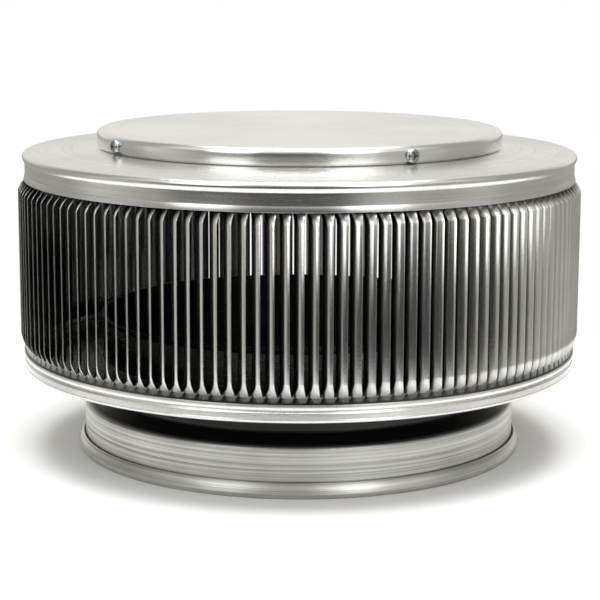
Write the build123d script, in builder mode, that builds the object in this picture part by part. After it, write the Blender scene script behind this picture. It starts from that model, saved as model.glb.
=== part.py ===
from build123d import *
import os
from math import cos, radians, sin

# Round exhaust vent cap of spun aluminium, in millimetres.
# The cap stands on its collar's hem: z is 0 on that plane and +Z runs up the axis.

# Sheet and fits
sheet = 0.9                # spun sheet of the collar, the pan, the plate and the lid
slip = 0.1                 # room between sheets that are pushed together

# Collar
pipe_d = 304.8             # outside of the pipe that the collar slips over
pipe_room = 1.6            # room all round between the pipe and the sleeve
sleeve_depth = 33.5        # from the resting plane to the shoulder's corner
hem_gap = 4.5              # open room behind the turned-up hem
hem_height = 10.6
hem_bend = 1.6
shoulder_rise = 7.0        # height that the shoulder gains on its way in to the throat
shoulder_bend = 2.0
throat_bend = 3.0
throat_bore = 279.0
throat_stand = 32.5        # how far the throat stands up above the pan's floor
seam_bend = 0.9            # bends of the throat's rim, where it is rolled over the pan's flange
seam_drop = 4.0            # how far that rim hangs down outside the flange
seam_room = 0.6            # room above the flange inside the rolled rim

# Louvre band
louvre_r = 200.0           # over the louvres' outer edges
louvre_count = 138
louvre_width = 8.7         # width of one strip between its two slits
louvre_sheet = 0.6         # the strips are drawn thinner than the band's margins
louvre_turn = 53.0         # turn of a strip out of the band's face, in degrees
twist_length = 17.0        # from the ends of the slits to the full turn
shoulder_turn = 28.0       # turn and length of the first, quicker part of the twist
shoulder_length = 6.5
slit_length = 115.6        # between the ends of the slits
louvre_root = 0.6          # length of a strip's end inside the plain margin
first_louvre = 0.0         # angle of the first strip's middle from the front, in degrees
band_sheet = 0.8
head_in = 2.2              # how far the band is drawn in at its head
crimp_height = 6.5         # height of the band's head inside the plate's waist
foot_room = 0.35           # from the bead's bend up to the band's foot

# Base pan
throat_show = 20.3         # from the top of the shoulder to the pan's lip
rim_height = 12.0          # the rim, its bead, the groove and the skirt are each this far
bead_height = 9.2          # above the lip
groove_height = 7.4
skirt_height = 6.2
groove_in = 1.7            # the groove and the skirt lie this far in from the rim
skirt_in = 0.5
bead_bend = 1.1
groove_bend = 0.7
lip_bend = 1.4
trough_width = 5.0
trough_depth = 2.8
trough_run = 1.4           # run of the slope from the trough up to the floor
trough_bend = 0.8
flange_bend = 1.5
foot_show = 4.2            # from the pan's rim to the lower ends of the slits
weep_d = 2.0
weep_turn = 72.0           # angle of the weep hole from the front, in degrees
weep_rise = 2.4            # height of the weep hole above the lip

# Top plate
flare_show = 0.8           # from the upper ends of the slits to the plate's flared foot
flare_height = 4.1
flare_out = 1.0            # how far the flared foot stands out of the waist
flare_bend = 1.2
waist_height = 8.3
step_out = 0.4             # small step at the top of the waist
step_height = 0.5
edge_height = 5.6
edge_out = 2.9             # how far the plate's edge would stand out of that step, unrounded
edge_bend = 2.8
plate_rise = 4.1           # rise of the plate from its edge to the lid
plate_bend = 2.0
neck_flange = 4.0          # width of the neck's turned-in flange, which the lid rests on
neck_bend = 3.0

# Lid and its screws
lid_r = 143.6
lid_gap = 1.4              # from the plate up to the lid's skirt
lid_skirt = 10.5
lid_bend = 3.5
lid_room = 0.3             # room between the lid's skirt and the plate's neck
screw_count = 4
screw_turn = 30.5          # angle of the first screw from the front, in degrees
screw_rise = 3.8           # height of the screws above the lid's lower edge
screw_d = 4.2
screw_length = 9.5
screw_tip = 3.0
head_d = 9.6
head_height = 3.0
head_round = 2.2           # rounding of the head's shoulder
recess_arm = 4.8           # length of the cross recess, tip to tip
recess_width = 1.1
recess_depth = 1.7
lid_hole_room = 0.2        # room all round the screw in the lid's skirt
neck_hole_room = 0.05      # room all round the screw in the plate's neck

FRONT = -90.0              # the front of the cap faces -Y

# Heights, stacked from the resting plane
shoulder_z = sleeve_depth + shoulder_rise
lip_z = shoulder_z + throat_show
floor_z = lip_z + trough_depth + sheet
throat_z = floor_z + throat_stand
band_z0 = lip_z + bead_height + foot_room
slit_z0 = lip_z + rim_height + foot_show
slit_z1 = slit_z0 + slit_length
flare_z = slit_z1 + flare_show
waist_z0 = flare_z + flare_height
band_z1 = waist_z0 + crimp_height
waist_z1 = waist_z0 + waist_height
step_z = waist_z1 + step_height
edge_z = step_z + edge_height
plate_z = edge_z + plate_rise
lid_z0 = plate_z + lid_gap
lid_z1 = lid_z0 + lid_skirt
screw_z = lid_z0 + screw_rise

# Radii of the sheets' middles
half = sheet / 2
sleeve_r = pipe_d / 2 + pipe_room + half
hem_r = sleeve_r + sheet + hem_gap
throat_r = throat_bore / 2 + half
flange_r = throat_r + sheet + slip
seam_r = flange_r + sheet + slip
turn = radians(louvre_turn)
band_r = louvre_r - louvre_width / 2 * sin(turn) - louvre_sheet / 2 * cos(turn)
head_r = band_r - head_in
grip = band_sheet / 2 + slip + half
rim_r = band_r + grip
skirt_r = rim_r - skirt_in
waist_r = head_r - flare_out + grip
step_r = waist_r + step_out
edge_r = step_r + edge_out
lid_wall_r = lid_r - half
neck_r = lid_wall_r - sheet - lid_room

# Collar: spun from one sheet, with a turned-up hem, the sleeve, a shoulder that stops the pipe,
# and a throat whose rim is rolled over the pan's flange.
with BuildPart() as collar:
    with BuildSketch(Plane.XZ):
        with BuildLine():
            FilletPolyline(
                (hem_r, hem_height),
                (hem_r, half),
                (sleeve_r, half),
                (sleeve_r, sleeve_depth - half),
                (throat_r, shoulder_z - half),
                (throat_r, throat_z - half),
                (seam_r, throat_z - half),
                (seam_r, throat_z - seam_drop),
                radius=[hem_bend, hem_bend, shoulder_bend, throat_bend, seam_bend, seam_bend],
            )
        trace(line_width=sheet)
    revolve(axis=Axis.Z)
collar.part.label = "collar"

# Base pan: a beaded rim round the foot of the louvre band, a groove that the foot stands on,
# the skirt with its lip, a trough that catches the rain, the floor, and a flange round the throat.
with BuildPart() as base_pan:
    with BuildSketch(Plane.XZ):
        with BuildLine():
            FilletPolyline(
                (rim_r, lip_z + rim_height),
                (rim_r, lip_z + bead_height),
                (rim_r - groove_in, lip_z + groove_height),
                (skirt_r, lip_z + skirt_height),
                (skirt_r, lip_z + half),
                (skirt_r - trough_width, lip_z + half),
                (skirt_r - trough_width - trough_run, floor_z - half),
                (flange_r, floor_z - half),
                (flange_r, throat_z - sheet - seam_room),
                radius=[bead_bend, groove_bend, groove_bend, lip_bend, trough_bend, trough_bend,
                        flange_bend],
            )
        trace(line_width=sheet)
    revolve(axis=Axis.Z)
    weep_axis = Vector(1, 0, 0).rotate(Axis.Z, FRONT + weep_turn)
    with BuildSketch(Plane(weep_axis * (skirt_r - sheet) + (0, 0, lip_z + weep_rise),
                           z_dir=weep_axis)):
        Circle(weep_d / 2)
    extrude(amount=2 * sheet, mode=Mode.SUBTRACT)
base_pan.part.label = "base_pan"

# One louvre: an upright strip, slit along both sides and twisted about its own middle, so that its
# right-hand edge, as seen from outside, stands out of the band and its left-hand edge stands in.
louvre_stations = [
    (slit_z0 - louvre_root, band_r, 0),
    (slit_z0, band_r, 0),
    (slit_z0 + shoulder_length, band_r, shoulder_turn),
    (slit_z0 + twist_length, band_r, louvre_turn),
    (slit_z1 - twist_length, band_r, louvre_turn),
    (slit_z1 - shoulder_length, band_r, shoulder_turn),
    (slit_z1, head_r, 0),
    (slit_z1 + louvre_root, head_r, 0),
]
with BuildPart() as louvre:
    for station_z, station_r, station_turn in louvre_stations:
        with BuildSketch(Plane.XY.offset(station_z)):
            with Locations((station_r, 0)):
                Rectangle(louvre_sheet, louvre_width, rotation=-station_turn)
    loft(ruled=True)

# Louvre band: one sheet rolled into a drum, with a plain foot inside the pan's rim, the ring of
# louvres, and a plain head that is drawn in under the plate's flared foot and waist.
with BuildPart() as louvre_band:
    with BuildSketch(Plane.XZ):
        with BuildLine():
            Line((band_r, band_z0), (band_r, slit_z0))
        trace(line_width=band_sheet)
        with BuildLine():
            Polyline(
                (head_r, slit_z1),
                (head_r, flare_z),
                (head_r - flare_out, waist_z0),
                (head_r - flare_out, band_z1),
            )
        trace(line_width=band_sheet)
    revolve(axis=Axis.Z)
    with PolarLocations(0, louvre_count, start_angle=FRONT + first_louvre):
        add(louvre.part)
louvre_band.part.label = "louvre_band"

# Top plate: a flared foot over the louvres' heads, a waist pressed round the band's head, a rounded
# edge, and a plate that rises gently to the neck under the lid.
with BuildPart() as top_plate:
    with BuildSketch(Plane.XZ):
        with BuildLine():
            FilletPolyline(
                (waist_r + flare_out, flare_z),
                (waist_r, waist_z0),
                (waist_r, waist_z1),
                (step_r, step_z),
                (edge_r, edge_z - half),
                (neck_r, plate_z - half),
                (neck_r, lid_z1 - sheet - half),
                (neck_r - neck_flange, lid_z1 - sheet - half),
                radius=[flare_bend, 0.0, 0.0, edge_bend, plate_bend, neck_bend],
            )
        trace(line_width=sheet)
    revolve(axis=Axis.Z)
    for k in range(screw_count):
        hole_axis = Vector(1, 0, 0).rotate(Axis.Z, FRONT + screw_turn + 360 * k / screw_count)
        with BuildSketch(Plane(hole_axis * (neck_r - sheet) + (0, 0, screw_z), z_dir=hole_axis)):
            Circle(screw_d / 2 + neck_hole_room)
        extrude(amount=2 * sheet, mode=Mode.SUBTRACT)
top_plate.part.label = "top_plate"

# Lid: a shallow spun pan, turned down over the plate's neck.
with BuildPart() as top_cap:
    with BuildSketch(Plane.XZ):
        with BuildLine():
            FilletPolyline(
                (0, lid_z1 - half),
                (lid_wall_r, lid_z1 - half),
                (lid_wall_r, lid_z0),
                radius=[lid_bend],
            )
        trace(line_width=sheet)
    revolve(axis=Axis.Z)
    for k in range(screw_count):
        hole_axis = Vector(1, 0, 0).rotate(Axis.Z, FRONT + screw_turn + 360 * k / screw_count)
        with BuildSketch(Plane(hole_axis * (lid_wall_r - sheet) + (0, 0, screw_z), z_dir=hole_axis)):
            Circle(screw_d / 2 + lid_hole_room)
        extrude(amount=2 * sheet, mode=Mode.SUBTRACT)
top_cap.part.label = "top_cap"

# Screws that hold the lid: one is made along +X, its head on the lid's skirt and its point inside
# the plate's neck, and set round the lid.
with BuildPart() as screw:
    with BuildSketch(Plane.XZ):
        with BuildLine():
            FilletPolyline(
                (lid_r + head_height, 0),
                (lid_r + head_height, head_d / 2),
                (lid_r, head_d / 2),
                (lid_r, screw_d / 2),
                (lid_r - screw_length + screw_tip, screw_d / 2),
                (lid_r - screw_length, 0),
                radius=[head_round, 0.0, 0.0, 0.0],
            )
            Line((lid_r - screw_length, 0), (lid_r + head_height, 0))
        make_face()
    revolve(axis=Axis.X)
    with BuildSketch(Plane.YZ.offset(lid_r + head_height)):
        Rectangle(recess_arm, recess_width)
        Rectangle(recess_width, recess_arm)
    extrude(amount=-recess_depth, mode=Mode.SUBTRACT)

with BuildPart() as cap_screws:
    with Locations((0, 0, screw_z)):
        with PolarLocations(0, screw_count, start_angle=FRONT + screw_turn):
            add(screw.part)
cap_screws.part.label = "cap_screws"

os.makedirs("parts", exist_ok=True)
export_step(collar.part, "parts/collar.step")
export_step(base_pan.part, "parts/base_pan.step")
export_step(louvre_band.part, "parts/louvre_band.step")
export_step(top_plate.part, "parts/top_plate.step")
export_step(top_cap.part, "parts/top_cap.step")
export_step(cap_screws.part, "parts/cap_screws.step")
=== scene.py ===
import math
import random

import bmesh
import bpy
from mathutils import Matrix, Vector


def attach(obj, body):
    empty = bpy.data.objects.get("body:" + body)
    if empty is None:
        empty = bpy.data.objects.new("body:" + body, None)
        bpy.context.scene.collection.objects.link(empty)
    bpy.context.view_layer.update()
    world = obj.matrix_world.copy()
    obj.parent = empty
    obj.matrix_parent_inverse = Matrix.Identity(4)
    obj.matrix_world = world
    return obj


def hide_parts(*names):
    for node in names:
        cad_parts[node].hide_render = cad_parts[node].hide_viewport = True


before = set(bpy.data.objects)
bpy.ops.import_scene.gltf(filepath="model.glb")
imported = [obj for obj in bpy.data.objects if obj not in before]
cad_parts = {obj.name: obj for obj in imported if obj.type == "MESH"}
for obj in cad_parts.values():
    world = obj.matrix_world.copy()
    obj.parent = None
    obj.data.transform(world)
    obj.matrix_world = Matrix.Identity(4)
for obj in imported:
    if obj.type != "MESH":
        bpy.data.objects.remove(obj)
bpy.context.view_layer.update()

# Collar: the sleeve that slips over the pipe, spun from one disc of aluminium about a millimetre
# thick. Its foot is turned up into a hem that leans in to the sleeve, a sloped shoulder stops the
# pipe, and the throat stands up inside the drum, its rim rolled down over the base pan's flange.
spun_thickness, spun_edge = 0.9, 0.22
bend_steps, spin_steps = 6, 360


def set_in_scene(name, bm):
    """Makes a finished mesh a piece of the scene."""
    mesh = bpy.data.meshes.new(name)
    bm.to_mesh(mesh)
    bm.free()
    piece = bpy.data.objects.new(name, mesh)
    bpy.context.scene.collection.objects.link(piece)
    return piece


def thickened(piece, thickness, edge):
    """Gives a surface half the sheet's thickness to each side and rounds its sheared edges."""
    piece.data.shade_smooth()
    wall = piece.modifiers.new("sheet", "SOLIDIFY")
    wall.thickness = thickness / 1000
    wall.offset = 0
    rounding = piece.modifiers.new("sheared_edge", "BEVEL")
    rounding.width = edge / 1000
    rounding.segments = 2
    rounding.limit_method = "ANGLE"
    rounding.angle_limit = math.radians(60)
    return wall


def spun_sheet(name, line, bends):
    """A sheet spun round the upright axis: line is the middle of its section, bends the rounding
    left at each inner corner, measured along the sheet on either side of the corner."""
    bm = bmesh.new()
    ends = [bm.verts.new((r / 1000, 0, z / 1000)) for r, z in line]
    for pair in zip(ends, ends[1:]):
        bm.edges.new(pair)
    for (r, z), bend in zip(line[1:-1], bends):
        corner = min(bm.verts, key=lambda v: (v.co - Vector((r / 1000, 0, z / 1000))).length)
        bmesh.ops.bevel(bm, geom=[corner], offset=bend / 1000, offset_type="OFFSET",
                        affect="VERTICES", segments=bend_steps, profile=0.5, material=-1)
    bmesh.ops.spin(bm, geom=bm.verts[:] + bm.edges[:], cent=(0, 0, 0), axis=(0, 0, 1),
                   angle=math.tau, steps=spin_steps, use_merge=True)
    bmesh.ops.remove_doubles(bm, verts=bm.verts, dist=1e-6)
    bmesh.ops.recalc_face_normals(bm, faces=bm.faces)
    piece = set_in_scene(name, bm)
    thickened(piece, spun_thickness, spun_edge).use_even_offset = True
    return piece


hem = [(156.3, 10.6), (158.6, 6.6), (159.7, 2.6), (158.2, 0.45)]
sleeve = [(154.45, 0.45), (154.45, 33.05)]
throat = [(139.95, 40.05), (139.95, 96.55)]
rolled_rim = [(141.95, 96.55), (141.95, 93.0)]
collar_bends = [1.5, 1.2, 1.0, 1.6, 1.25, 1.85, 0.9, 0.9]
collar = spun_sheet("collar_sleeve", hem + sleeve + throat + rolled_rim, collar_bends)

# The two ways that a finish changes over a spun piece: out from the axis and up along it.
outward, upward = (1, 1, 0), (0, 0, 1)


def bare_metal(name):
    """A metal that has no colour or roughness of its own yet."""
    metal = bpy.data.materials.new(name)
    metal.use_nodes = True
    metal.node_tree.nodes["Principled BSDF"].inputs["Metallic"].default_value = 1.0
    return metal


def distance(metal, kept_axes):
    """How far a spot lies from the axis, or how high it lies, in metres."""
    nodes, links = metal.node_tree.nodes, metal.node_tree.links
    place = nodes.new("ShaderNodeTexCoord")
    kept = nodes.new("ShaderNodeVectorMath")
    kept.operation = "MULTIPLY"
    kept.inputs[1].default_value = kept_axes
    links.new(place.outputs["Object"], kept.inputs[0])
    length = nodes.new("ShaderNodeVectorMath")
    length.operation = "LENGTH"
    links.new(kept.outputs[0], length.inputs[0])
    return length.outputs["Value"]


def mottle(metal, fineness, detail):
    """An uneven pattern on the metal, of the given fineness along each axis."""
    nodes, links = metal.node_tree.nodes, metal.node_tree.links
    place = nodes.new("ShaderNodeTexCoord")
    stretch = nodes.new("ShaderNodeMapping")
    stretch.inputs["Scale"].default_value = fineness
    links.new(place.outputs["Object"], stretch.inputs["Vector"])
    pattern = nodes.new("ShaderNodeTexNoise")
    pattern.inputs["Scale"].default_value = 1.0
    pattern.inputs["Detail"].default_value = detail
    links.new(stretch.outputs[0], pattern.inputs["Vector"])
    return pattern


def clouds_and_lines(metal, clouds, lines, line_share):
    """One pattern of the soft clouds of handling and the fine lines of the tool or the mill."""
    nodes, links = metal.node_tree.nodes, metal.node_tree.links
    both = nodes.new("ShaderNodeMix")
    both.data_type = "FLOAT"
    both.inputs["Factor"].default_value = line_share
    links.new(clouds.outputs["Fac"], both.inputs["A"])
    links.new(lines.outputs["Fac"], both.inputs["B"])
    return both.outputs["Result"]


def toned(metal, pattern, dull, light, tone_span, rough_span, rough):
    """Takes a metal's colour from dull to light, and its roughness along, by one pattern."""
    nodes, links = metal.node_tree.nodes, metal.node_tree.links
    shader = nodes["Principled BSDF"]
    tone = nodes.new("ShaderNodeValToRGB")
    for stop, position, colour in zip(tone.color_ramp.elements, tone_span, (dull, light)):
        stop.position = position
        stop.color = (*colour, 1)
    links.new(pattern, tone.inputs["Fac"])
    links.new(tone.outputs["Color"], shader.inputs["Base Color"])
    roughness = nodes.new("ShaderNodeMapRange")
    for end, span, value in zip(("Min", "Max"), rough_span, rough):
        roughness.inputs["From " + end].default_value = span
        roughness.inputs["To " + end].default_value = value
    links.new(pattern, roughness.inputs["Value"])
    links.new(roughness.outputs["Result"], shader.inputs["Roughness"])


def grooved(metal, lines, strength, depth):
    """Lets the fine lines catch the light as shallow grooves."""
    nodes, links = metal.node_tree.nodes, metal.node_tree.links
    groove = nodes.new("ShaderNodeBump")
    groove.inputs["Strength"].default_value = strength
    groove.inputs["Distance"].default_value = depth
    links.new(lines.outputs["Fac"], groove.inputs["Height"])
    links.new(groove.outputs["Normal"], nodes["Principled BSDF"].inputs["Normal"])


def spun_aluminium(name, light, dull, lines, line_depth, roughness, lean, ringed):
    """Mill aluminium with the fine rings that spinning leaves, clouded by handling."""
    metal = bare_metal(name)
    nodes, links = metal.node_tree.nodes, metal.node_tree.links
    shader = nodes["Principled BSDF"]
    shader.inputs["Anisotropic"].default_value = lean
    shader.inputs["Anisotropic Rotation"].default_value = 0.25
    round_axis = nodes.new("ShaderNodeTangent")
    round_axis.direction_type = "RADIAL"
    round_axis.axis = "Z"
    links.new(round_axis.outputs["Tangent"], shader.inputs["Tangent"])
    # Rings: quick change up the wall and out along the radius, slow change round the axis.
    rings = mottle(metal, (3.0, 3.0, lines), 6.0)
    rings.noise_dimensions = "4D"
    rings.inputs["Roughness"].default_value = 0.7
    out = nodes.new("ShaderNodeMath")
    out.operation = "MULTIPLY"
    out.inputs[1].default_value = lines
    links.new(distance(metal, outward), out.inputs[0])
    links.new(out.outputs[0], rings.inputs["W"])
    # Clouds: the soft patches of handling and oxide.
    clouds = mottle(metal, (16.0, 16.0, 16.0), 5.0)
    pattern = clouds_and_lines(metal, clouds, rings, ringed)
    toned(metal, pattern, dull, light, tone_span=(0.36, 0.62),
          rough_span=(0.3, 0.7), rough=(roughness * 1.3, roughness * 0.75))
    grooved(metal, rings, line_depth, depth=0.0004)
    return metal


def painted_shade(metal, kept_axes, start, end, start_share, end_share):
    """Paints shade into a metal by scaling its colour with the height, or with the distance from
    the axis.
    """
    nodes, links = metal.node_tree.nodes, metal.node_tree.links
    shader = nodes["Principled BSDF"]
    unshaded = shader.inputs["Base Color"].links[0].from_socket
    share = nodes.new("ShaderNodeMapRange")
    share.inputs["From Min"].default_value = start
    share.inputs["From Max"].default_value = end
    share.inputs["To Min"].default_value = start_share
    share.inputs["To Max"].default_value = end_share
    links.new(distance(metal, kept_axes), share.inputs["Value"])
    scaled = nodes.new("ShaderNodeMix")
    scaled.data_type = "RGBA"
    scaled.blend_type = "MULTIPLY"
    scaled.inputs["Factor"].default_value = 1.0
    links.new(unshaded, scaled.inputs["A"])
    links.new(share.outputs["Result"], scaled.inputs["B"])
    links.new(scaled.outputs["Result"], shader.inputs["Base Color"])


collar_metal = spun_aluminium(
    "collar_aluminium", light=(0.64, 0.64, 0.62), dull=(0.26, 0.255, 0.245),
    lines=950, line_depth=0.35, roughness=0.34, lean=0.7, ringed=0.8)
# Painted shade: the shoulder and the throat above it, in the shelter of pan and drum, are darkened
# in colour to stand in for the shade there.
painted_shade(collar_metal, upward, start=0.0335, end=0.0350, start_share=1.0, end_share=0.08)
collar.data.materials.append(collar_metal)
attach(collar, "root")
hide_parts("collar")

# Base pan: the spun ring under the louvres. Its beaded rim is pressed round the foot of the louvre
# band, which stands on the groove below it, and the skirt ends in a folded lip that sheds the rain.
# The floor runs in to the throat, where a flange is locked under the throat's rolled rim.
lip, rim = 60.8, 197.3
beaded_rim = [(rim, lip + 12.0), (rim, lip + 9.2)]
rim_groove = [(rim - 1.7, lip + 7.4)]
skirt = [(rim - 0.5, lip + 6.2), (rim - 0.5, lip + 2.35)]
folded_lip = [(rim - 0.35, lip + 2.05), (rim - 0.35, lip + 0.45), (rim - 5.5, lip + 0.45)]
pan_floor = [(rim - 6.9, 64.05), (140.95, 64.05)]
pan_flange = [(140.95, 95.5)]
pan_bends = [0.8, 0.6, 0.3, 0.14, 0.14, 1.2, 0.5, 0.5, 1.5]
pan_line = beaded_rim + rim_groove + skirt + folded_lip + pan_floor + pan_flange
base_pan = spun_sheet("base_pan_spun", pan_line, pan_bends)
# One small weep hole, to the right of the front, drains the trough behind the skirt. Eight cuts
# round it part its disc from the skirt.
weep_turn, weep_rise = math.radians(72 - 90), 2.4
weep_radius, weep_reach, weep_cuts = 0.001, 0.005, 8
weep_way = Vector((math.cos(weep_turn), math.sin(weep_turn), 0))
weep_side = Matrix.Rotation(math.pi / 2, 3, "Z") @ weep_way
weep = weep_way * ((rim - 0.5) / 1000) + Vector((0, 0, (lip + weep_rise) / 1000))
bm = bmesh.new()
bm.from_mesh(base_pan.data)
for k in range(weep_cuts):
    cut_turn = math.tau * k / weep_cuts
    cut_way = weep_side * math.cos(cut_turn) + Vector((0, 0, math.sin(cut_turn)))
    near = [f for f in bm.faces if (f.calc_center_median() - weep).length < weep_reach]
    edges = {e for f in near for e in f.edges}
    verts = {v for f in near for v in f.verts}
    bmesh.ops.bisect_plane(bm, geom=[*near, *edges, *verts], dist=1e-7,
                           plane_co=weep + cut_way * weep_radius, plane_no=cut_way)
drilled = [f for f in bm.faces if (f.calc_center_median() - weep).length < weep_radius]
bmesh.ops.delete(bm, geom=drilled, context="FACES")
bm.to_mesh(base_pan.data)
bm.free()
pan_metal = spun_aluminium(
    "pan_aluminium", light=(0.80, 0.80, 0.78), dull=(0.62, 0.615, 0.60),
    lines=620, line_depth=0.03, roughness=0.26, lean=0.7, ringed=0.45)
# Painted shade: its floor, inside the drum and under it, is darkened like the throat, standing in
# for the shade there.
painted_shade(pan_metal, outward, start=0.188, end=0.194, start_share=0.2, end_share=1.0)
base_pan.data.materials.append(pan_metal)
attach(base_pan, "root")
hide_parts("base_pan")

# Louvre band: one strip of thin sheet, rolled into a drum and slit upright all round between a
# plain foot and a plain head. Each strip between two slits is twisted about its own middle, its
# right-hand edge outwards, no two quite alike. Rim and waist are crimped round foot and head.
louvres = 138
pitch = math.tau / louvres
front = math.radians(-90)
band_thickness, band_edge = 0.6, 0.15
# Radii of the drum's wall, of the slits' lower and upper ends and of the crimped head.
band, foot, head, crimp = 196.35, 195.85, 192.7, 193.15
# Heights of the plain foot, of the slits' two ends and of the plain head.
foot_low, foot_high = 70.35, 72.8
slit_low, slit_high = 77.0, 195.5
head_low, head_high = 197.5, 204.0
# Height of the top plate's flared foot, under which the strips' heads are drawn in.
plate_foot = 193.4
# A strip's half width, the length its twist takes at each end, the length over which it is drawn
# in, its twist in degrees and the arch across it.
strip_half, twist_length, drawn_length, full_turn, bow = 4.35, 9.8, 8.0, 45.0, 1.0
# How much the hand varies a twist, in degrees, and shifts a strip to one side.
least_twist, most_twist, most_lean = -3.0, 1.4, 0.25
strip_steps = 4
end_rows = [0.6, 1.4, 2.6, 4.4, 7.0, twist_length]
rows = [(foot_low, band), (foot_high, band), (slit_low, foot)]
rows += [(slit_low + d, band) for d in end_rows]
rows += [(slit_high - d, band) for d in reversed(end_rows)]
rows += [(slit_high, head), (head_low, crimp), (head_high, crimp)]
bm = bmesh.new()
bmesh.ops.create_grid(bm, x_segments=strip_steps, y_segments=len(rows) - 1, size=1.0)
for v in bm.verts:
    z, r = rows[round((v.co.y + 1) / 2 * (len(rows) - 1))]
    half_turn = strip_half / band if slit_low < z < slit_high else pitch / 2
    turn = front + v.co.x * half_turn
    v.co = (r / 1000 * math.cos(turn), r / 1000 * math.sin(turn), z / 1000)
bmesh.ops.spin(bm, geom=bm.faces[:] + bm.edges[:] + bm.verts[:], cent=(0, 0, 0), axis=(0, 0, 1),
               angle=math.tau - pitch, steps=louvres - 1, use_duplicate=True)
bmesh.ops.remove_doubles(bm, verts=bm.verts, dist=2e-5)
hand = random.Random(12)
twists = [math.radians(full_turn + hand.uniform(least_twist, most_twist)) for k in range(louvres)]
leans = [hand.uniform(-most_lean, most_lean) for k in range(louvres)]
for v in bm.verts:
    z = v.co.z * 1000
    inside = min(z - slit_low, slit_high - z)
    if inside > 0.1:
        angle = math.atan2(v.co.y, v.co.x) - front
        k = round(angle / pitch)
        side = (angle - k * pitch) * band
        ease = 1 - (1 - min(1, inside / twist_length)) ** 2
        below = min(1, max(0, (plate_foot - z) / drawn_length))
        drawn = (band - head) * (1 - below * below * (3 - 2 * below))
        drawn += (band - foot) * (1 - min(1, (z - slit_low) / drawn_length)) ** 2
        twist = twists[k % louvres] * ease
        bulge = bow * ease * (1 - (side / strip_half) ** 2)
        out = band - drawn + side * math.sin(twist) + bulge * math.cos(twist)
        along = side * math.cos(twist) - bulge * math.sin(twist) + leans[k % louvres] * ease
        strip_turn = front + k * pitch
        v.co.x = (out * math.cos(strip_turn) - along * math.sin(strip_turn)) / 1000
        v.co.y = (out * math.sin(strip_turn) + along * math.cos(strip_turn)) / 1000
bmesh.ops.recalc_face_normals(bm, faces=bm.faces)
louvre_band = set_in_scene("louvre_band_twisted", bm)
thickened(louvre_band, band_thickness, band_edge)

# Its metal shows the mill's upright grain in place of rings.
grained = bare_metal("louvre_aluminium")
grain = mottle(grained, (900.0, 900.0, 9.0), 4.0)
band_clouds = mottle(grained, (30.0, 30.0, 30.0), 4.0)
toned(grained, clouds_and_lines(grained, band_clouds, grain, line_share=0.5),
      dull=(0.60, 0.595, 0.575), light=(0.78, 0.775, 0.755), tone_span=(0.35, 0.65),
      rough_span=(0.3, 0.7), rough=(0.26, 0.16))
grooved(grained, grain, strength=0.05, depth=0.0002)
# Painted shade: the strips' inner edges, in the drum's shelter, are darkened; their outer edges
# keep the plain colour.
painted_shade(grained, outward, start=0.1950, end=0.1983, start_share=0.12, end_share=1.0)
# Painted shade: the plain foot, between the rim and the slits, is darkened too, and the strips'
# lower ends a little.
painted_shade(grained, upward, start=0.0764, end=0.0772, start_share=0.4, end_share=1.0)
painted_shade(grained, upward, start=0.0775, end=0.095, start_share=0.6, end_share=1.0)
louvre_band.data.materials.append(grained)
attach(louvre_band, "root")
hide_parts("louvre_band")

# Top plate: spun from one disc. A flared foot covers the louvres' heads, the waist above it is
# pressed tight round the band, and the plate rises gently from its rounded edge to a neck with a
# turned-in flange, which the lid sits on.
flared_foot = [(195.1, plate_foot)]
waist = [(194.1, 197.5), (194.1, 205.8)]
rounded_edge = [(194.5, 206.3), (197.4, 211.45)]
neck = [(141.95, 215.55), (141.95, 226.55)]
lid_seat = [(137.95, 226.55)]
plate_bends = [0.4, 0.3, 0.3, 4.4, 1.9, 3.0]
plate_line = flared_foot + waist + rounded_edge + neck + lid_seat
top_plate = spun_sheet("top_plate_spun", plate_line, plate_bends)
plate_metal = spun_aluminium(
    "plate_aluminium", light=(0.80, 0.80, 0.785), dull=(0.62, 0.61, 0.59),
    lines=560, line_depth=0.05, roughness=0.25, lean=0.5, ringed=0.55)
top_plate.data.materials.append(plate_metal)
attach(top_plate, "root")
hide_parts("top_plate")

# Lid: a shallow pan with a rounded edge, spun from one disc of the same aluminium. Its skirt is
# turned down over the plate's neck, and the screws round the skirt hold it there.
lid_line = [(0, 227.45), (143.15, 227.45), (143.15, 217.4)]
lid_bends = [3.5]
top_cap = spun_sheet("lid_spun", lid_line, lid_bends)
lid_metal = spun_aluminium(
    "lid_aluminium", light=(0.84, 0.84, 0.825), dull=(0.74, 0.735, 0.72),
    lines=480, line_depth=0.04, roughness=0.23, lean=0.4, ringed=0.45)
top_cap.data.materials.append(lid_metal)
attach(top_cap, "root")
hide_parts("top_cap")

# Lid screws: zinc plated steel with round pan heads and a cross recess, driven through the lid's
# skirt into the plate's neck. The turned solids stay and get a grey, slightly bluish zinc.
zinc = bare_metal("zinc_plate")
spangle = mottle(zinc, (700.0, 700.0, 700.0), 3.0)
toned(zinc, spangle.outputs["Fac"], dull=(0.20, 0.22, 0.22), light=(0.52, 0.55, 0.55),
      tone_span=(0.35, 0.65), rough_span=(0.0, 1.0), rough=(0.20, 0.40))
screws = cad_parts["cap_screws"]
screws.data.materials.clear()
screws.data.materials.append(zinc)

# Floor: a plain pale round table, a little under a metre across.
table_radius, table_white = 0.45, 0.92
bm = bmesh.new()
bmesh.ops.create_circle(bm, cap_ends=True, segments=128, radius=table_radius)
floor = set_in_scene("floor", bm)
pale = bpy.data.materials.new("pale_floor")
pale.use_nodes = True
pale_shader = pale.node_tree.nodes["Principled BSDF"]
pale_shader.inputs["Base Color"].default_value = (table_white, table_white, table_white, 1)
pale_shader.inputs["Roughness"].default_value = 0.9
floor.data.materials.append(pale)


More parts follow.
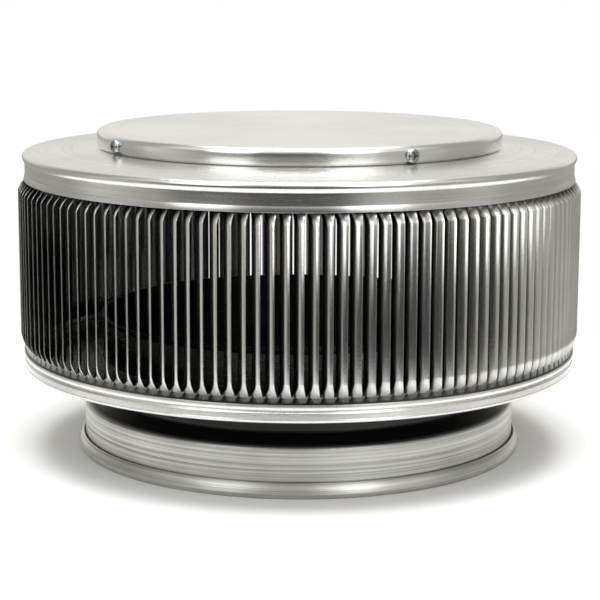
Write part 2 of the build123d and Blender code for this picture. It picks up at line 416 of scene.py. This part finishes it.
# Lamps: one broad soft box overhead, and one at each side of the camera.
def soft_box(name, place, aim, width, height, watts):
    """A rectangular lamp that faces its aim."""
    lamp = bpy.data.lights.new(name, "AREA")
    lamp.shape = "RECTANGLE"
    lamp.size, lamp.size_y = width, height
    lamp.energy = watts
    stand = bpy.data.objects.new(name, lamp)
    stand.location = place
    stand.rotation_euler = (Vector(aim) - Vector(place)).to_track_quat("-Z", "Y").to_euler()
    bpy.context.scene.collection.objects.link(stand)


soft_box("overhead_box", (0, -0.1, 1.6), (0, 0, 0.1), width=1.3, height=1.3, watts=34)
soft_box("left_box", (-0.95, -1.25, 0.85), (0, 0, 0.12), width=0.7, height=1.1, watts=5)
soft_box("right_box", (0.75, -1.35, 0.85), (0, 0, 0.12), width=0.7, height=1.1, watts=5)

# Surroundings: a white wall behind, pale sides, a pale corner at the right front, a pale patch at
# the left and a pale ceiling in front, with the rest of the room nearly dark, so that the metal has
# something to show. The camera itself sees plain white.
world = bpy.data.worlds.new("studio")
bpy.context.scene.world = world
world.use_nodes = True
room_nodes, room_links = world.node_tree.nodes, world.node_tree.links
room_nodes.clear()
room_way = room_nodes.new("ShaderNodeTexCoord")


def glow(towards, start, full, strength):
    """A soft patch of light in one direction of the room."""
    facing = room_nodes.new("ShaderNodeVectorMath")
    facing.operation = "DOT_PRODUCT"
    facing.inputs[1].default_value = Vector(towards).normalized()
    room_links.new(room_way.outputs["Generated"], facing.inputs[0])
    patch = room_nodes.new("ShaderNodeMapRange")
    patch.interpolation_type = "SMOOTHSTEP"
    patch.inputs["From Min"].default_value = start
    patch.inputs["From Max"].default_value = full
    patch.inputs["To Max"].default_value = strength
    room_links.new(facing.outputs["Value"], patch.inputs["Value"])
    return patch.outputs["Result"]


def joined(operation, first, second):
    """The sum or the product of two patches of light."""
    sum_or_product = room_nodes.new("ShaderNodeMath")
    sum_or_product.operation = operation
    room_links.new(first, sum_or_product.inputs[0])
    room_links.new(second, sum_or_product.inputs[1])
    return sum_or_product.outputs[0]


above_floor = glow((0, 0, 1), start=-0.03, full=0.05, strength=1.0)
wall = glow((0, 1, 0.1), start=0.5, full=0.85, strength=0.45)
wall_behind = joined("MULTIPLY", above_floor, wall)
pale_sides = glow((0, 1, 0), start=-0.6, full=0.2, strength=0.36)
pale_corner = glow((0.82, -0.57, -0.1), start=0.76, full=0.95, strength=0.35)
pale_left = glow((-0.966, -0.259, -0.1), start=0.88, full=0.97, strength=0.35)
overhead = glow((0, 0, 1), start=0.16, full=0.4, strength=1.0)
in_front = glow((0, -1, 0.3), start=0.0, full=0.5, strength=0.75)
ceiling = joined("MULTIPLY", overhead, in_front)
dim_rest = room_nodes.new("ShaderNodeValue")
dim_rest.outputs[0].default_value = 0.04
room_light = dim_rest.outputs[0]
for patch_of_light in (wall_behind, pale_sides, pale_corner, pale_left, ceiling):
    room_light = joined("ADD", room_light, patch_of_light)
room = room_nodes.new("ShaderNodeBackground")
room.inputs["Color"].default_value = (1.0, 0.985, 0.92, 1)
room_links.new(room_light, room.inputs["Strength"])
plain = room_nodes.new("ShaderNodeBackground")
plain.inputs["Color"].default_value = (1, 1, 1, 1)
ray = room_nodes.new("ShaderNodeLightPath")
pick = room_nodes.new("ShaderNodeMixShader")
room_links.new(ray.outputs["Is Camera Ray"], pick.inputs["Fac"])
room_links.new(room.outputs[0], pick.inputs[1])
room_links.new(plain.outputs[0], pick.inputs[2])
sky = room_nodes.new("ShaderNodeOutputWorld")
room_links.new(pick.outputs[0], sky.inputs["Surface"])

# Camera: in front and a little above, at the photograph's distance and angle.
look_down, camera_roll = 10.643, -0.2
lens = bpy.data.cameras.new("camera")
lens.sensor_width = 36
lens.lens = 112.63
lens.shift_x = -0.0005
camera = bpy.data.objects.new("camera", lens)
camera.location = (0, -1.3361, 0.3537)
camera.rotation_euler = (math.radians(90 - look_down), math.radians(camera_roll), 0)
bpy.context.scene.collection.objects.link(camera)
bpy.context.scene.camera = camera
bpy.context.scene.view_settings.view_transform = "Standard"
